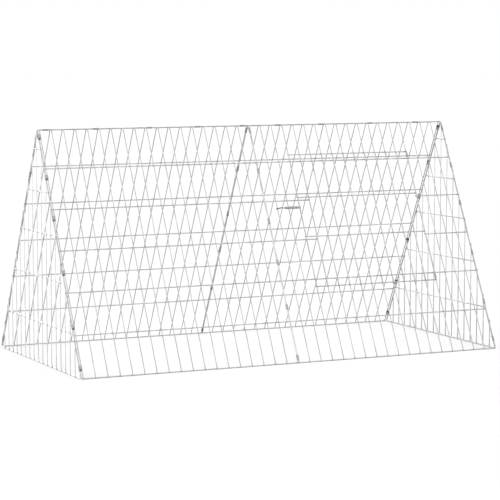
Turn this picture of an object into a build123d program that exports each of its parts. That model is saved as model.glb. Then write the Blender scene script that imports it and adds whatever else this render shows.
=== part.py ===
from build123d import *
import os
from math import acos, cos, dist, floor, hypot, pi, radians, sin, sqrt

# A floorless chicken cage shaped like a ridge tent: four welded wire panels lean together along a ridge,
# a triangular panel closes each end, and clips of bent sheet hold every seam. A wire door on the right
# half of the front swings outward and is held shut by a spring with a hook.
# Millimetres, +Z up. The origin is on the ground under the middle of the ridge, +X runs along the ridge
# and -Y is the front.

# Driving dimensions of the cage
CAGE_HEIGHT = 1005.0  # ground to the top of the ridge wires
BASE_WIDTH = 1008.0  # between the centres of the front and back base wires
UPRIGHT_SPACES = 18  # wire spaces along one side panel
UPRIGHT_PITCH = 55.0  # between neighbouring uprights, from the middle of the cage on
FULL_ROWS = 5  # full rows of mesh, counted up from the ground
ROW_PITCH = 187.5  # a full row, measured down the slope
UPRIGHT_WIRE = 4.4  # wire diameter of the panels' uprights
FRAME_WIRE = 5.6  # wire diameter of rows, end frames and the door
WELD_SINK = 0.3  # how deep two crossing wires are welded into each other
SEAM_GAP = 0.6  # between the wires of two neighbouring panels

# End panels
END_PITCH = 55.5  # between neighbouring uprights
END_ROW_HEIGHTS = (177.0, 376.0, 565.0, 742.0, 921.5)
END_SET_OUT = 6.2  # frame wire past the side panels' edge wires, along the ridge
END_SET_IN = 6.0  # frame wire below the side panels' edge wires, square to the slope
END_BEND = 8.0  # bend radius at the frame's three corners

# Door: uprights are counted from the middle seam, rows from the ridge
DOOR_FIRST, DOOR_LAST = 3, 14  # uprights of the panel that the door's side edges lie on
WAY_FIRST, WAY_LAST = 4, 14  # uprights at the sides of the doorway
WAY_TOP, WAY_BOTTOM = 1, 4  # rows above and below the doorway
DOOR_LAP_TOP = 29.0  # door's top edge above the doorway
DOOR_LAP_BOTTOM = 38.0  # door's bottom edge below the doorway
DOOR_ROW_LIFT = 10.0  # door's inner rows above the rows of the panel
DOOR_GAP = 0.8  # between the door's rows and the panel's uprights
DOOR_SET_LEFT = 5.2  # door's uprights to the left of those of the panel

# Clips of bent sheet: a place on a seam or an edge is a row and a share of that row's height
CLIP_SHEET = 0.8
CLIP_PLAY = 0.3  # round each wire of a seam
HINGE_PLAY = 0.6  # round each wire of the door's hinge
CLIP_SLIT = 1.2  # between the two edges of the bent sheet
CLIP_LENGTH = 24.0
HINGE_CLIP_LENGTH = 20.0
CLIP_END_PLAY = 1.0  # between a clip's end and a crossing wire
LEFT_RIDGE_CLIPS = (0.58, 4.72, 9.28, 13.5, 17.5)  # in wire spaces, from the panels' left end
RIGHT_RIDGE_CLIPS = (2.67, 6.67, 11.28, 15.6)
SEAM_CLIPS = ((0, 0.14), (1, 0.23), (2, 0.51), (3, 0.54), (4, 0.65), (5, 0.89))
UPPER_EDGE_CLIPS = ((0, 0.185), (1, 0.345), (2, 0.22))
LOWER_EDGE_CLIPS = ((3, 0.53), (4, 0.72), (5, 0.765))

# Spring latch between the door's free edge and an upright of the panel
LATCH_ROW = 2
LATCH_DROP = 40.0  # below that row
LATCH_UPRIGHT = 1  # upright that the hook goes round
SPRING_WIRE = 2.6
SPRING_DIAMETER = 12.4  # outside of the coil
SPRING_PITCH = 3.0
TAPER_TURNS = 4  # turns that narrow towards the hook
TAPER_DIAMETER = 7.4  # outside of the last turn
COIL_LIFT = 1.0  # coil's axis above the door's edge wire
EYE_PLAY = 0.6  # round the door's edge wire
EYE_LEAD = 8.0  # from the door's edge wire to the coil
EYE_WRAP = 250.0  # degrees that the eye goes round the wire
HOOK_PLAY = 0.6  # round the upright
HOOK_LEG = 26.0  # from the coil to the upright
HOOK_NECK = 8.0  # of that leg, from the coil to where it lies on the axis
HOOK_TIP = 3.0  # straight end past the bend

# Worked out from the driving dimensions
HALF_RIDGE = (FRAME_WIRE + SEAM_GAP) / 2  # from the middle to a ridge wire
HALF_SEAM = (UPRIGHT_WIRE + SEAM_GAP) / 2  # from the middle to an edge wire of the middle seam
EDGE_X = UPRIGHT_SPACES * UPRIGHT_PITCH  # from the middle to an edge wire at an end
RIDGE_Z = CAGE_HEIGHT - FRAME_WIRE / 2
BASE_Z = FRAME_WIRE / 2
RUN = BASE_WIDTH / 2 - HALF_RIDGE
RISE = RIDGE_Z - BASE_Z
SLOPE = hypot(RUN, RISE)
ROW_AT = [0.0] + [SLOPE - (FULL_ROWS - n) * ROW_PITCH for n in range(FULL_ROWS + 1)]
UPRIGHT_OUT = (FRAME_WIRE + UPRIGHT_WIRE) / 2 - WELD_SINK  # uprights lie outside the rows
DOOR_OUT = UPRIGHT_OUT + UPRIGHT_WIRE / 2 + DOOR_GAP + FRAME_WIRE / 2  # rows of the door
PIVOT_OUT = DOOR_OUT + FRAME_WIRE - WELD_SINK  # uprights of the door
CLIP_WALL = CLIP_PLAY + CLIP_SHEET  # from a wire's surface to the outside of a seam clip
PAST_ROW = FRAME_WIRE / 2  # from the middle of a row to the ends of the uprights that stop on it
PAST_RIDGE = 0.0  # the same at the ridge, so that no end stands above its wires

# The front slope's own frame: x along the ridge, y up the slope from the top wire, z outward
FRONT = Plane(origin=(0, -HALF_RIDGE, RIDGE_Z), x_dir=(1, 0, 0), z_dir=(0, -RISE, RUN))
UP_SLOPE = (0, 1, 0)
TURN_TO_BACK = Rot(0, 0, 180)


def upright_x(number):
    """Place along the ridge of an upright of a right-hand panel, counted from the middle seam."""
    return max(HALF_SEAM, number * UPRIGHT_PITCH)


def door_x(number):
    """Place along the ridge of the door's upright that goes with that upright of the panel."""
    return upright_x(number) - DOOR_SET_LEFT


# Welded wire panels


def rod(start, end, diameter):
    axis = Vector(*end) - Vector(*start)
    return Solid.make_cylinder(diameter / 2, axis.length, Plane(origin=start, z_dir=axis))


def weld(rods):
    return rods[0].fuse(*rods[1:])


def row_wire(down, first_x, last_x, out=0.0):
    return rod((first_x, -down, out), (last_x, -down, out), FRAME_WIRE)


def upright_wire(x, top, bottom, wire, rows_out=0.0, past_top=PAST_ROW):
    """An upright outside the rows that it is welded to, between its top and its bottom row."""
    out = rows_out + (FRAME_WIRE + wire) / 2 - WELD_SINK
    return rod((x, past_top - top, out), (x, -bottom - PAST_ROW, out), wire)


def slope_mesh(uprights, rows, first_x, last_x):
    """Welded mesh of these uprights and rows of a right-hand panel."""
    top, bottom = ROW_AT[rows[0]], ROW_AT[rows[-1]]
    past_top = PAST_RIDGE if rows[0] == 0 else PAST_ROW
    rods = []
    for number in uprights:
        rods.append(upright_wire(upright_x(number), top, bottom, UPRIGHT_WIRE, past_top=past_top))
    for number in rows:
        rods.append(row_wire(ROW_AT[number], first_x, last_x))
    return weld(rods)


ALL_ROWS = range(len(ROW_AT))
PANEL_ENDS = (HALF_SEAM - UPRIGHT_WIRE / 2, EDGE_X + UPRIGHT_WIRE / 2)  # where a panel's rows end


def plain_panel():
    return slope_mesh(range(UPRIGHT_SPACES + 1), ALL_ROWS, *PANEL_ENDS)


def doorway_panel():
    """The panel with the doorway, as the flat stretches of mesh left of, right of, over and under it."""
    left_end = upright_x(WAY_FIRST) + UPRIGHT_WIRE / 2
    right_end = upright_x(WAY_LAST) - UPRIGHT_WIRE / 2
    between = range(WAY_FIRST + 1, WAY_LAST)
    return {
        "left": slope_mesh(range(WAY_FIRST + 1), ALL_ROWS, PANEL_ENDS[0], left_end),
        "right": slope_mesh(range(WAY_LAST, UPRIGHT_SPACES + 1), ALL_ROWS, right_end, PANEL_ENDS[1]),
        "over_door": slope_mesh(between, ALL_ROWS[: WAY_TOP + 1], left_end, right_end),
        "under_door": slope_mesh(between, ALL_ROWS[WAY_BOTTOM:], left_end, right_end),
    }


# Door, which lies outside the front right panel

DOOR_TOP = ROW_AT[WAY_TOP] - DOOR_LAP_TOP
DOOR_BOTTOM = ROW_AT[WAY_BOTTOM] + DOOR_LAP_BOTTOM
DOOR_INNER_ROWS = [down - DOOR_ROW_LIFT for down in ROW_AT[WAY_TOP + 1 : WAY_BOTTOM]]


def door_mesh():
    rods = []
    for number in range(DOOR_FIRST, DOOR_LAST + 1):
        rods.append(upright_wire(door_x(number), DOOR_TOP, DOOR_BOTTOM, FRAME_WIRE, DOOR_OUT))
    first_x = door_x(DOOR_FIRST) - FRAME_WIRE / 2
    last_x = door_x(DOOR_LAST) + FRAME_WIRE / 2
    for down in [DOOR_TOP, *DOOR_INNER_ROWS, DOOR_BOTTOM]:
        rods.append(row_wire(down, first_x, last_x, DOOR_OUT))
    return FRONT * weld(rods)


# End panels: a bent frame wire whose slanted sides run parallel to the slopes

END_OUT = UPRIGHT_OUT - END_SET_IN
END_X = EDGE_X + END_SET_OUT
END_TOP = FRONT.from_local_coords((0, 0, END_OUT))  # front frame wire beside the ridge wire
APEX_Z = END_TOP.Z - END_TOP.Y * RISE / RUN  # where the two slanted sides would meet
CORNER_Y = END_TOP.Y - (END_TOP.Z - BASE_Z) * RUN / RISE
APEX_CUT = END_BEND * (SLOPE / RUN - 1)  # how far the bend stays below that point
END_COUNT = floor((-CORNER_Y - 2 * END_BEND) / END_PITCH)  # uprights each side of the middle one
END_UPRIGHTS = [number * END_PITCH for number in range(-END_COUNT, END_COUNT + 1)]
END_ROWS = [height for height in END_ROW_HEIGHTS if height < APEX_Z - APEX_CUT - END_BEND]


def end_panel():
    """The right end panel, with its uprights outside the frame wire and the rows."""
    corners = ((END_X, CORNER_Y, BASE_Z), (END_X, -CORNER_Y, BASE_Z), (END_X, 0, APEX_Z))
    path = FilletPolyline(*corners, radius=END_BEND, close=True)
    section = Plane(origin=path @ 0, z_dir=path % 0) * Circle(FRAME_WIRE / 2)
    rods = [sweep(section, path=path).solid()]
    for height in END_ROWS:
        half = (APEX_Z - height) * RUN / RISE
        rods.append(rod((END_X, -half, height), (END_X, half, height), FRAME_WIRE))
    upright = END_X + UPRIGHT_OUT
    for y in END_UPRIGHTS:
        top = APEX_Z - max(abs(y) * RISE / RUN, APEX_CUT) + FRAME_WIRE / 2
        rods.append(rod((upright, y, BASE_Z - FRAME_WIRE / 4), (upright, y, top), UPRIGHT_WIRE))
    return weld(rods)


# Clips: a strip of sheet bent round two wires, with a slit where its edges meet


def around(distance, radius_a, radius_b):
    """The outline round two circles, one at the origin and one that far along x."""
    lean = acos((radius_a - radius_b) / distance)
    top_a = Vector(radius_a * cos(lean), radius_a * sin(lean))
    top_b = Vector(distance + radius_b * cos(lean), radius_b * sin(lean))
    low_a, low_b = Vector(top_a.X, -top_a.Y), Vector(top_b.X, -top_b.Y)
    edges = [
        Edge.make_line(top_a, top_b),
        Edge.make_three_point_arc(top_b, (distance + radius_b, 0), low_b),
        Edge.make_line(low_b, low_a),
        Edge.make_three_point_arc(low_a, (-radius_a, 0), top_a),
    ]
    return Face(Wire(edges))


def clip(at_a, at_b, along, wires, play=CLIP_PLAY, length=CLIP_LENGTH):
    """A clip round parallel wires a and b, slit where the cross product of along and a to b points."""
    across = Vector(*at_b) - Vector(*at_a)
    inside = [wire / 2 + play for wire in wires]
    outside = [radius + CLIP_SHEET for radius in inside]
    inner = around(across.length, *inside)
    outer = around(across.length, *outside)
    depth = max(outside)
    slit = Pos(across.length / 2, depth / 2) * Rectangle(CLIP_SLIT, depth)
    place = Plane(origin=at_a, x_dir=across, z_dir=along)
    return (place * extrude(Sketch() + outer - inner - slit, length / 2, both=True)).solid()


def ridge_clips(places, first_x):
    """Clips over the two ridge wires, at places in wire spaces from the first upright."""
    clips = []
    for place in places:
        x = first_x + place * UPRIGHT_PITCH
        at_a, at_b = (x, -HALF_RIDGE, RIDGE_Z), (x, HALF_RIDGE, RIDGE_Z)
        clips.append(clip(at_a, at_b, (-1, 0, 0), (FRAME_WIRE, FRAME_WIRE)))
    return clips


def clear_spot(place, crossings):
    """Distance down the slope, nearest to a place in a row, where a clip meets no crossing wire."""
    row, share = place
    wanted = ROW_AT[row] + share * (ROW_AT[row + 1] - ROW_AT[row])
    kept = [(at, reach + CLIP_LENGTH / 2 + CLIP_END_PLAY) for at, reach in crossings]
    spots = [wanted]
    for at, room in kept:
        spots += [at - room, at + room]
    free = [spot for spot in spots if all(abs(spot - at) > room - 1e-6 for at, room in kept)]
    return min((spot for spot in free if 0 < spot < SLOPE), key=lambda spot: abs(spot - wanted))


ROW_CROSSINGS = [(down, FRAME_WIRE / 2) for down in ROW_AT]
# Along the slanted frame wire, the end panel's wires come close to a clip over these lengths
END_UPRIGHT_REACH = (FRAME_WIRE / 2 + CLIP_WALL + UPRIGHT_WIRE / 2) * SLOPE / RUN
END_ROW_REACH = (FRAME_WIRE + CLIP_WALL) * SLOPE / RISE
EDGE_CROSSINGS = (
    ROW_CROSSINGS
    + [((APEX_Z - height) * SLOPE / RISE, END_ROW_REACH) for height in END_ROWS]
    + [(abs(y) * SLOPE / RUN, END_UPRIGHT_REACH) for y in END_UPRIGHTS]
)


def seam_clips(places):
    """Clips over the middle seam of the front slope."""
    clips = []
    for place in places:
        down = clear_spot(place, ROW_CROSSINGS)
        at_a, at_b = (-HALF_SEAM, -down, UPRIGHT_OUT), (HALF_SEAM, -down, UPRIGHT_OUT)
        clips.append(FRONT * clip(at_a, at_b, UP_SLOPE, (UPRIGHT_WIRE, UPRIGHT_WIRE)))
    return clips


def edge_clips(places):
    """Clips over the right front edge, round the side panel's edge wire and the end panel's frame wire."""
    clips = []
    for place in places:
        down = clear_spot(place, EDGE_CROSSINGS)
        at_a, at_b = (EDGE_X, -down, UPRIGHT_OUT), (END_X, -down, END_OUT)
        clips.append(FRONT * clip(at_a, at_b, UP_SLOPE, (UPRIGHT_WIRE, FRAME_WIRE)))
    return clips


def hinge_clip(down):
    """A clip round the door's hinge edge and the upright behind it, in which the door turns."""
    at_a = (upright_x(DOOR_LAST), -down, UPRIGHT_OUT)
    at_b = (door_x(DOOR_LAST), -down, PIVOT_OUT)
    wires = (UPRIGHT_WIRE, FRAME_WIRE)
    return FRONT * clip(at_a, at_b, UP_SLOPE, wires, HINGE_PLAY, HINGE_CLIP_LENGTH)


# Spring latch. Its own axes: along from the door's edge wire to the hook, up the slope, outward

LATCH_DOWN = ROW_AT[LATCH_ROW] + LATCH_DROP
LATCH_REACH = door_x(DOOR_FIRST) - upright_x(LATCH_UPRIGHT)
EYE_RADIUS = FRAME_WIRE / 2 + EYE_PLAY + SPRING_WIRE / 2
HOOK_RADIUS = UPRIGHT_WIRE / 2 + HOOK_PLAY + SPRING_WIRE / 2
COIL_LENGTH = LATCH_REACH - EYE_LEAD - HOOK_LEG
COIL_TURNS = floor(COIL_LENGTH / SPRING_PITCH)
COIL_RADIUS = (SPRING_DIAMETER - SPRING_WIRE) / 2
TAPER_RADIUS = (TAPER_DIAMETER - SPRING_WIRE) / 2
COIL_START = radians(-90)  # angle of the first turn's start, from outward


def latch_stations():
    """Points and directions along the spring's wire, from its eye to the tip of its hook."""
    stations = []
    for degrees_left in (EYE_WRAP, 180, 90, 0):
        angle = pi / 2 + radians(degrees_left)
        point = Vector(EYE_RADIUS * cos(angle), 0, EYE_RADIUS * sin(angle))
        stations.append((point, Vector(sin(angle), 0, -cos(angle))))
    advance = COIL_LENGTH / (2 * pi * COIL_TURNS)
    narrowing = (COIL_RADIUS - TAPER_RADIUS) / (2 * pi * TAPER_TURNS)
    for quarter in range(4 * COIL_TURNS + 1):
        turned = quarter * pi / 2
        into_taper = max(0.0, turned - 2 * pi * (COIL_TURNS - TAPER_TURNS))
        radius = COIL_RADIUS - narrowing * into_taper
        closing = narrowing if into_taper > 0 else 0.0
        angle = COIL_START + turned
        point = Vector(EYE_LEAD + advance * turned, radius * sin(angle), COIL_LIFT + radius * cos(angle))
        up = radius * cos(angle) - closing * sin(angle)
        out = -radius * sin(angle) - closing * cos(angle)
        stations.append((point, Vector(advance, up, out).normalized()))
    hook_out = UPRIGHT_OUT + HOOK_RADIUS - PIVOT_OUT
    tip = Vector(LATCH_REACH + HOOK_RADIUS, 0, hook_out - HOOK_RADIUS)
    stations.append((Vector(EYE_LEAD + COIL_LENGTH + HOOK_NECK, 0, COIL_LIFT), Vector(1, 0, 0)))
    stations.append((Vector(LATCH_REACH, 0, hook_out), Vector(1, 0, 0)))
    stations.append((tip, Vector(0, 0, -1)))
    stations.append((tip - Vector(0, 0, HOOK_TIP), Vector(0, 0, -1)))
    return stations


def biarc(start, start_way, end, end_way):
    """Two tangent arcs between two points with given directions, or a line where both agree."""
    chord = end - start
    if chord.cross(start_way).length < 1e-9 and chord.cross(end_way).length < 1e-9:
        return [Edge.make_line(start, end)]
    both = start_way + end_way
    spread = 2 * (1 - start_way.dot(end_way))
    if spread < 1e-9:
        reach = chord.dot(chord) / (4 * chord.dot(end_way))
    else:
        reach = (sqrt(chord.dot(both) ** 2 + spread * chord.dot(chord)) - chord.dot(both)) / spread
    middle = (start + end + (start_way - end_way) * reach) / 2
    middle_way = middle - (start + start_way * reach)
    return [
        Edge.make_tangent_arc(start, start_way, middle),
        Edge.make_tangent_arc(middle, middle_way, end),
    ]


def least_gap(edges):
    """Least clear distance between parts of the spring's wire that aren't neighbours along it."""
    points, walked = [], [0.0]
    for edge in edges:
        points += [tuple(edge.position_at(share / 4)) for share in range(4)]
    for a, b in zip(points, points[1:]):
        walked.append(walked[-1] + dist(a, b))
    apart = 3 * SPRING_WIRE
    pairs = (
        dist(points[i], points[j])
        for i in range(len(points))
        for j in range(i + 1, len(points))
        if walked[j] - walked[i] > apart
    )
    return min(pairs) - SPRING_WIRE


def latch_spring():
    x, y = door_x(DOOR_FIRST), -LATCH_DOWN
    stations = [
        (Vector(x - point.X, y + point.Y, PIVOT_OUT + point.Z), Vector(-way.X, way.Y, way.Z))
        for point, way in latch_stations()
    ]
    edges = []
    for (start, start_way), (end, end_way) in zip(stations, stations[1:]):
        edges += biarc(start, start_way, end, end_way)
    start, start_way = stations[0]
    section = Plane(origin=start, z_dir=start_way) * Circle(SPRING_WIRE / 2)
    path = Wire(edges)
    spring = sweep(section, path=path).solid()
    expected = pi * SPRING_WIRE**2 / 4 * path.length
    tightest = min(edge.radius for edge in edges if edge.geom_type == GeomType.CIRCLE)
    print(f"spring: {COIL_TURNS} turns, least gap {least_gap(edges):.2f} mm, tightest bend {tightest:.2f} mm")
    print(f"spring volume {spring.volume:.1f} mm3, wire length times section {expected:.1f} mm3")
    return FRONT * spring


def parts():
    front_right = FRONT * plain_panel()
    front_left = mirror(front_right, about=Plane.YZ)
    right_end = end_panel()
    made = {
        "front_left_panel": front_left,
        "back_left_panel": TURN_TO_BACK * front_right,
        "back_right_panel": TURN_TO_BACK * front_left,
        "left_end_panel": TURN_TO_BACK * right_end,
        "right_end_panel": right_end,
        "door": door_mesh(),
        "door_hinge_clip_upper": hinge_clip((DOOR_TOP + ROW_AT[WAY_TOP]) / 2),
        "door_hinge_clip_lower": hinge_clip((DOOR_BOTTOM + ROW_AT[WAY_BOTTOM]) / 2),
        "door_latch_spring": latch_spring(),
        "ridge_clips_left": Compound(ridge_clips(LEFT_RIDGE_CLIPS, -EDGE_X)),
        "ridge_clips_right": Compound(ridge_clips(RIGHT_RIDGE_CLIPS, 0.0)),
    }
    for stretch, mesh in doorway_panel().items():
        made[f"front_right_panel_{stretch}"] = FRONT * mesh
    seam = Compound(seam_clips(SEAM_CLIPS))
    made["front_seam_clips"] = seam
    made["back_seam_clips"] = TURN_TO_BACK * seam
    for height, places in (("upper", UPPER_EDGE_CLIPS), ("lower", LOWER_EDGE_CLIPS)):
        right_front = Compound(edge_clips(places))
        left_front = mirror(right_front, about=Plane.YZ)
        made[f"right_front_{height}_clips"] = right_front
        made[f"left_front_{height}_clips"] = left_front
        made[f"left_back_{height}_clips"] = TURN_TO_BACK * right_front
        made[f"right_back_{height}_clips"] = TURN_TO_BACK * left_front
    return made


os.makedirs("parts", exist_ok=True)
for node, shape in parts().items():
    export_step(shape, f"parts/{node}.step")
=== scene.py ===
from math import acos, atan2, cos, floor, hypot, pi, radians, sin, tan

import bpy
from mathutils import Matrix, Vector


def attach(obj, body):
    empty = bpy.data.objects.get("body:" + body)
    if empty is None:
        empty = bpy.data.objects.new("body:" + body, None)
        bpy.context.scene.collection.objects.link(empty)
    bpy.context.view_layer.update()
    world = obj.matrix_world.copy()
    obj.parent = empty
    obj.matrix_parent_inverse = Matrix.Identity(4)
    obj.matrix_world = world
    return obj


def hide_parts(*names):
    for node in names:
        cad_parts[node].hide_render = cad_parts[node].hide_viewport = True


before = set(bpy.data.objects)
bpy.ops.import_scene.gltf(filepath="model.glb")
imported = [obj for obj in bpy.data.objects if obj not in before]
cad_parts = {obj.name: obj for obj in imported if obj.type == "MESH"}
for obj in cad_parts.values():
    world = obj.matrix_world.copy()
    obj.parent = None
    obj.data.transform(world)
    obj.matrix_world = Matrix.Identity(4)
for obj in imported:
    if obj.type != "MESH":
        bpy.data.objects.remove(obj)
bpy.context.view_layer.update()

# Looks of a floorless chicken cage of welded wire, shaped like a ridge tent. Every wire is drawn again
# with rounded cut ends and a weld at each crossing, every clip as a strip of bent sheet, and the latch
# as a coil. Metres, in the frame of the solids: +X runs along the ridge, -Y is the front and +Z is up.

# Side panels, as in the solids
CAGE_HEIGHT = 1.005  # ground to the top of the ridge wires
BASE_WIDTH = 1.008  # between the centres of the front and back base wires
UPRIGHT_SPACES = 18
UPRIGHT_PITCH = 0.055
FULL_ROWS = 5
ROW_PITCH = 0.1875
UPRIGHT_WIRE = 0.0044
FRAME_WIRE = 0.0056
WELD_SINK = 0.0003  # how far two welded wires are pressed into each other
SEAM_GAP = 0.0006  # between the neighbouring wires of two panels

# End panels
END_PITCH = 0.0555
END_ROW_HEIGHTS = (0.177, 0.376, 0.565, 0.742, 0.9215)
END_SET_OUT = 0.0062  # of the end frames, along the ridge from the edge wires of the side panels
END_SET_IN = 0.0060  # of the same, inward from those wires
END_BEND = 0.008  # radius of a corner, at the middle of the wire
END_FOOT_PAST = FRAME_WIRE / 4  # an upright's foot past the middle of the base wire

# Door and doorway: uprights are counted from the middle seam, rows from the ridge
DOOR_FIRST, DOOR_LAST = 3, 14
WAY_FIRST, WAY_LAST = 4, 14
WAY_TOP, WAY_BOTTOM = 1, 4
DOOR_LAP_TOP = 0.029  # of the door over the row above the doorway
DOOR_LAP_BOTTOM = 0.038  # of the door over the row below it
DOOR_ROW_LIFT = 0.010  # of the door's rows above those of the panel
DOOR_GAP = 0.0008  # between the panel's uprights and the door
DOOR_SET_LEFT = 0.0052  # of the door's uprights from those of the panel

# Clips of bent sheet
CLIP_SHEET = 0.0008  # thickness
CLIP_PLAY = 0.0003  # between a wire and the sheet round it
HINGE_PLAY = 0.0006  # the same in the door's hinges
CLIP_SLIT = 0.0012  # between the two edges of the bent strip
CLIP_LENGTH = 0.024
CLIP_APART = 1.5 * CLIP_LENGTH  # points further from each other along a seam are on two clips
HINGE_CLIP_LENGTH = 0.020
CLIP_DIP = 0.0003  # how far pliers pressed the flats in between the two wires
CRIMP_LENGTH = 0.008  # of the end that is pinched tight
CRIMP_SLOPE = CRIMP_LENGTH / 4  # of that, where the flats go in
CRIMP_DIP = 0.75  # of the height of the flats, where they are pinched
CLIP_EDGE = 0.00012  # rounding of the sheared edges

# Spring latch
LATCH_ROW = 2
LATCH_DROP = 0.040  # below that row
LATCH_UPRIGHT = 1  # upright that the hook goes round
SPRING_WIRE = 0.0026
SPRING_DIAMETER = 0.0124  # outside of the coil
SPRING_PITCH = 0.003
TAPER_TURNS = 4  # turns that narrow towards the hook
TAPER_DIAMETER = 0.0074  # outside of the last of them
COIL_LIFT = 0.001  # coil's axis above the door's edge wire
EYE_PLAY = 0.0006  # round the door's edge wire
EYE_LEAD = 0.008  # from the door's edge wire to the coil
EYE_WRAP = radians(250)  # that the eye goes round the wire
HOOK_PLAY = 0.0006  # round the upright
HOOK_LEG = 0.026  # from the coil to the upright
HOOK_NECK = 0.008  # of that leg, from the coil to where it lies on the axis
HOOK_TIP = 0.003  # straight end past the bend
HOOK_FOLD = 0.0029  # between the two strands of the hook's folded wire

# Welds
BEAD_RADIUS = 0.0036  # of the metal squeezed out between an upright and a row
BEAD_FLATNESS = 0.5
BEAD_LUMPS = 0.12  # of its radius
BEAD_SPREAD = 0.18  # how much the beads differ in size
BEAD_SIZE_STEP = 12.9  # angle from one bead to the next, on the wave that their sizes follow
BEAD_TURN_STEP = 2.4  # angle that a bead is turned from the one before
BASE_BEAD = 0.75  # size of the beads on the wires that lie on the ground
RIDGE_BEAD = 0.45  # size of the beads on the ridge wires, under the cut ends of the uprights
END_FOOT_BEAD = 0.9  # size of the beads at the feet of the end uprights
ROW_END_BEAD = 1.15  # size of the beads where the rows of an end panel meet its frame wire

# Fineness of the meshes
WIRE_SIDES = 16
CUT_ROUNDING = 0.16  # of a wire's diameter, at its cut ends
ROUNDING_STEPS = 2
BEND_STEPS = 8
BEAD_SEGMENTS, BEAD_RINGS = 8, 5
BEAD_SEED = 7
SPRING_STEPS = 5  # along the spring's wire, to a quarter of a turn
SPRING_FINENESS = 3  # round it
QUARTER_HANDLE = 0.39  # of the chord, for a curve that goes round a quarter of a circle
SQUARE_ON = 0.9  # least share of a normal along a wire, on the faces at its ends
TOUCHING = 1e-6  # points nearer to each other are one point
# Angles in degrees, past which an edge between two faces stays sharp
WIRE_CREASE = 60
BEAD_CREASE = 80
CLIP_CREASE = 40
SPRING_CREASE = 50
SHEARED_CORNER = 50  # the same, past which a clip's edge is rounded

# Worked out from those sizes
HALF_RIDGE = (FRAME_WIRE + SEAM_GAP) / 2
HALF_SEAM = (UPRIGHT_WIRE + SEAM_GAP) / 2
EDGE_X = UPRIGHT_SPACES * UPRIGHT_PITCH
RIDGE_Z = CAGE_HEIGHT - FRAME_WIRE / 2
BASE_Z = FRAME_WIRE / 2
RUN = BASE_WIDTH / 2 - HALF_RIDGE
RISE = RIDGE_Z - BASE_Z
SLOPE = hypot(RUN, RISE)
ROW_AT = [0.0] + [SLOPE - (FULL_ROWS - n) * ROW_PITCH for n in range(FULL_ROWS + 1)]
UPRIGHT_OUT = (FRAME_WIRE + UPRIGHT_WIRE) / 2 - WELD_SINK
DOOR_OUT = UPRIGHT_OUT + UPRIGHT_WIRE / 2 + DOOR_GAP + FRAME_WIRE / 2
PIVOT_OUT = DOOR_OUT + FRAME_WIRE - WELD_SINK
DOOR_TOP = ROW_AT[WAY_TOP] - DOOR_LAP_TOP
DOOR_BOTTOM = ROW_AT[WAY_BOTTOM] + DOOR_LAP_BOTTOM
DOOR_LEFT = DOOR_FIRST * UPRIGHT_PITCH - DOOR_SET_LEFT
DOOR_RIGHT = DOOR_LAST * UPRIGHT_PITCH - DOOR_SET_LEFT

# Directions, and the frames of the panels: x along a panel, y up it and z out of it
ALONG_RIDGE = Vector((1, 0, 0))
UP_FRONT = Vector((0, RUN, RISE)).normalized()
UP_BACK = Vector((0, -RUN, RISE)).normalized()
ACROSS_END = Vector((0, 1, 0))
UPWARD = Vector((0, 0, 1))
TURN_ROUND = Matrix.Rotation(pi, 4, "Z")


def standing(origin, x_way, y_way):
    """The frame at a point with these x and y directions."""
    turn = Matrix((x_way, y_way, x_way.cross(y_way))).transposed()
    return Matrix.Translation(origin) @ turn.to_4x4()


FRONT = standing(Vector((0, -HALF_RIDGE, RIDGE_Z)), ALONG_RIDGE, UP_FRONT)
BACK = TURN_ROUND @ FRONT
END_OUT = UPRIGHT_OUT - END_SET_IN
END_X = EDGE_X + END_SET_OUT
RIGHT_END = standing(Vector((END_X, 0, 0)), ACROSS_END, UPWARD)
LEFT_END = TURN_ROUND @ RIGHT_END
END_TOP = FRONT @ Vector((0, 0, END_OUT))
APEX_Z = END_TOP.z - END_TOP.y * RISE / RUN
CORNER_Y = END_TOP.y - (END_TOP.z - BASE_Z) * RUN / RISE
APEX_CUT = END_BEND * (SLOPE / RUN - 1)
END_COUNT = floor((-CORNER_Y - 2 * END_BEND) / END_PITCH)
EDGE_BEADS = {0.0: RIDGE_BEAD, SLOPE: BASE_BEAD}


# Shader sums


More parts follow.
